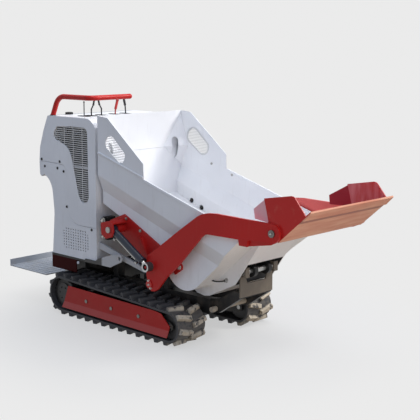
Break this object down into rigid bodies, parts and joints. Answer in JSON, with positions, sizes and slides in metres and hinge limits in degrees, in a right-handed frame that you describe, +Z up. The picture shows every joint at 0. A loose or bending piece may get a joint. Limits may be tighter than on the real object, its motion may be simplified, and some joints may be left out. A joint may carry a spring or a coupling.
{
  "type": "tracked power carrier",
  "caption": "Walk-behind self-loading mini dumper on rubber tracks, with a tipping skip, a front loading shovel on lift arms, an engine housing and a ride-on platform",
  "frame": {"origin": "centre of the bounding box's bottom face, on the ground under the tracks", "axes": "+X forward to the shovel, +Y to the machine's left, +Z up"},
  "size_m": [2.4002, 0.818, 1.2831],
  "materials": {
    "white_paint": "semi-gloss white enamel",
    "red_paint": "semi-gloss red enamel",
    "black_paint": "satin black",
    "grey_paint": "satin grey",
    "bracket_paint": "worn grey-brown primer",
    "ram_paint": "satin blue-black",
    "rubber": "matt",
    "steel": "bright",
    "hard_chrome": "polished",
    "wheel_iron": "black painted casting",
    "engine_alloy": "as cast",
    "tank_plastic": "moulded",
    "lever_black": "grip coated",
    "lever_red": "dipped red grip"
  },
  "bodies": {
    "chassis": {"chassis_frame": "black_paint", "front_bracket": "bracket_paint", "front_tube": "grey_paint", "rear_skirt": "red_paint", "engine_deck": "black_paint", "tie_down_lugs": "grey_paint", "rest_rails": "grey_paint", "rest_buffers": "rubber", "hinge_pins": "steel", "track_frame_right": "black_paint", "track_frame_left": "black_paint", "track_cover_right": "red_paint", "track_cover_left": "red_paint", "cover_bolts": "steel", "rubber_track_right": "rubber", "rubber_track_left": "rubber", "wheel_axles": "steel", "drive_motors": "black_paint", "side_panel_right": "white_paint", "side_panel_left": "white_paint", "service_panel_right": "white_paint", "service_panel_left": "white_paint", "side_grilles": "black_paint", "hood_shell": "white_paint", "panel_screws": "black_paint", "engine_block": "engine_alloy", "muffler": "steel", "fuel_tank": "tank_plastic", "oil_tank": "grey_paint", "oil_pump": "engine_alloy", "valve_block": "black_paint", "hand_rail": "red_paint", "lever_shaft": "steel"},
    "skip": {"skip_tub": "white_paint", "skip_guard": "white_paint", "guard_grilles": "steel", "skip_lugs": "black_paint", "loader_subframe": "red_paint", "loader_pins": "steel"},
    "arms": {"arm_right": "red_paint", "arm_left": "red_paint", "shovel_pins": "steel"},
    "shovel": {"shovel": "red_paint"},
    "lift_barrels": {"lift_barrels": "ram_paint"},
    "lift_rods": {"lift_rods": "hard_chrome"},
    "tip_barrel": {"tip_barrel": "black_paint"},
    "tip_rod": {"tip_rod": "hard_chrome"},
    "platform": {"platform": "grey_paint"},
    "throttle_lever": {"throttle_lever": "lever_black"},
    "travel_lever_right": {"travel_lever_right": "lever_black"},
    "travel_lever_left": {"travel_lever_left": "lever_black"},
    "tip_lever": {"tip_lever": "lever_red"},
    "loader_lever": {"loader_lever": "lever_black"},
    "sprocket_right": {"sprocket_right": "wheel_iron"},
    "sprocket_left": {"sprocket_left": "wheel_iron"},
    "idler_right": {"idler_right": "wheel_iron"},
    "idler_left": {"idler_left": "wheel_iron"},
    "back_rollers": {"back_rollers": "wheel_iron"},
    "mid_rollers": {"mid_rollers": "wheel_iron"},
    "front_rollers": {"front_rollers": "wheel_iron"}
  },
  "joints": [
    {"name": "skip_tip", "type": "hinge", "parent": "chassis", "child": "skip", "pos_m": [0.605, 0, 0.405], "axis": [0, 1, 0], "range_deg": [0, 52]},
    {"name": "arm_lift", "type": "hinge", "parent": "skip", "child": "arms", "pos_m": [0.142, 0, 0.303], "axis": [0, -1, 0], "range_deg": [-40, 12]},
    {"name": "shovel_tilt", "type": "hinge", "parent": "arms", "child": "shovel", "pos_m": [0.985, 0, 0.69], "axis": [0, -1, 0], "range_deg": [0, 30]},
    {"name": "lift_barrel_swing", "type": "hinge", "parent": "skip", "child": "lift_barrels", "pos_m": [-0.125, 0, 0.568], "axis": [0, -1, 0], "range_deg": [-1, 2.5]},
    {"name": "lift_rod_slide", "type": "slide", "parent": "lift_barrels", "child": "lift_rods", "axis": [0.8591, 0, -0.5118], "range_m": [-0.0205, 0.0665]},
    {"name": "tip_barrel_swing", "type": "hinge", "parent": "chassis", "child": "tip_barrel", "pos_m": [-0.33, 0, 0.19], "axis": [0, -1, 0], "range_deg": [0, 24.5]},
    {"name": "tip_rod_slide", "type": "slide", "parent": "tip_barrel", "child": "tip_rod", "axis": [0.9299, 0, 0.3679], "range_m": [0, 0.32]},
    {"name": "platform_fold", "type": "hinge", "parent": "chassis", "child": "platform", "pos_m": [-0.8, 0, 0.2], "axis": [0, 1, 0], "range_deg": [0, 88]},
    {"name": "throttle", "type": "hinge", "parent": "chassis", "child": "throttle_lever", "pos_m": [-0.54, -0.222, 1.118], "axis": [0, 1, 0], "range_deg": [-15, 15]},
    {"name": "travel_right", "type": "hinge", "parent": "chassis", "child": "travel_lever_right", "pos_m": [-0.54, -0.168, 1.118], "axis": [0, 1, 0], "range_deg": [-15, 15], "stiffness_Nm_per_rad": 5},
    {"name": "travel_left", "type": "hinge", "parent": "chassis", "child": "travel_lever_left", "pos_m": [-0.54, -0.092, 1.118], "axis": [0, 1, 0], "range_deg": [-15, 15], "stiffness_Nm_per_rad": 5},
    {"name": "tip_control", "type": "hinge", "parent": "chassis", "child": "tip_lever", "pos_m": [-0.54, 0.012, 1.118], "axis": [0, 1, 0], "range_deg": [-15, 15], "stiffness_Nm_per_rad": 5},
    {"name": "loader_control", "type": "hinge", "parent": "chassis", "child": "loader_lever", "pos_m": [-0.54, 0.098, 1.118], "axis": [0, 1, 0], "range_deg": [-15, 15], "stiffness_Nm_per_rad": 5},
    {"name": "sprocket_spin_right", "type": "hinge", "parent": "chassis", "child": "sprocket_right", "pos_m": [-0.6, -0.27, 0.122], "axis": [0, 1, 0], "continuous": true},
    {"name": "sprocket_spin_left", "type": "hinge", "parent": "chassis", "child": "sprocket_left", "pos_m": [-0.6, 0.27, 0.122], "axis": [0, 1, 0], "continuous": true},
    {"name": "idler_spin_right", "type": "hinge", "parent": "chassis", "child": "idler_right", "pos_m": [0.297, -0.27, 0.103], "axis": [0, 1, 0], "continuous": true},
    {"name": "idler_spin_left", "type": "hinge", "parent": "chassis", "child": "idler_left", "pos_m": [0.297, 0.27, 0.103], "axis": [0, 1, 0], "continuous": true},
    {"name": "back_roller_spin", "type": "hinge", "parent": "chassis", "child": "back_rollers", "pos_m": [-0.37575, 0, 0.0753], "axis": [0, 1, 0], "continuous": true},
    {"name": "mid_roller_spin", "type": "hinge", "parent": "chassis", "child": "mid_rollers", "pos_m": [-0.1515, 0, 0.0753], "axis": [0, 1, 0], "continuous": true},
    {"name": "front_roller_spin", "type": "hinge", "parent": "chassis", "child": "front_rollers", "pos_m": [0.07275, 0, 0.0753], "axis": [0, 1, 0], "continuous": true}
  ],
  "couplings": [
    {"joint": "lift_barrel_swing", "follows": "arm_lift", "ratio": -0.0498},
    {"joint": "lift_rod_slide", "follows": "arm_lift", "m_per_rad": -0.0946},
    {"joint": "tip_barrel_swing", "follows": "skip_tip", "ratio": 0.46},
    {"joint": "tip_rod_slide", "follows": "skip_tip", "m_per_rad": 0.3495},
    {"joint": "idler_spin_right", "follows": "sprocket_spin_right", "ratio": 1.2639},
    {"joint": "idler_spin_left", "follows": "sprocket_spin_left", "ratio": 1.2639}
  ]
}
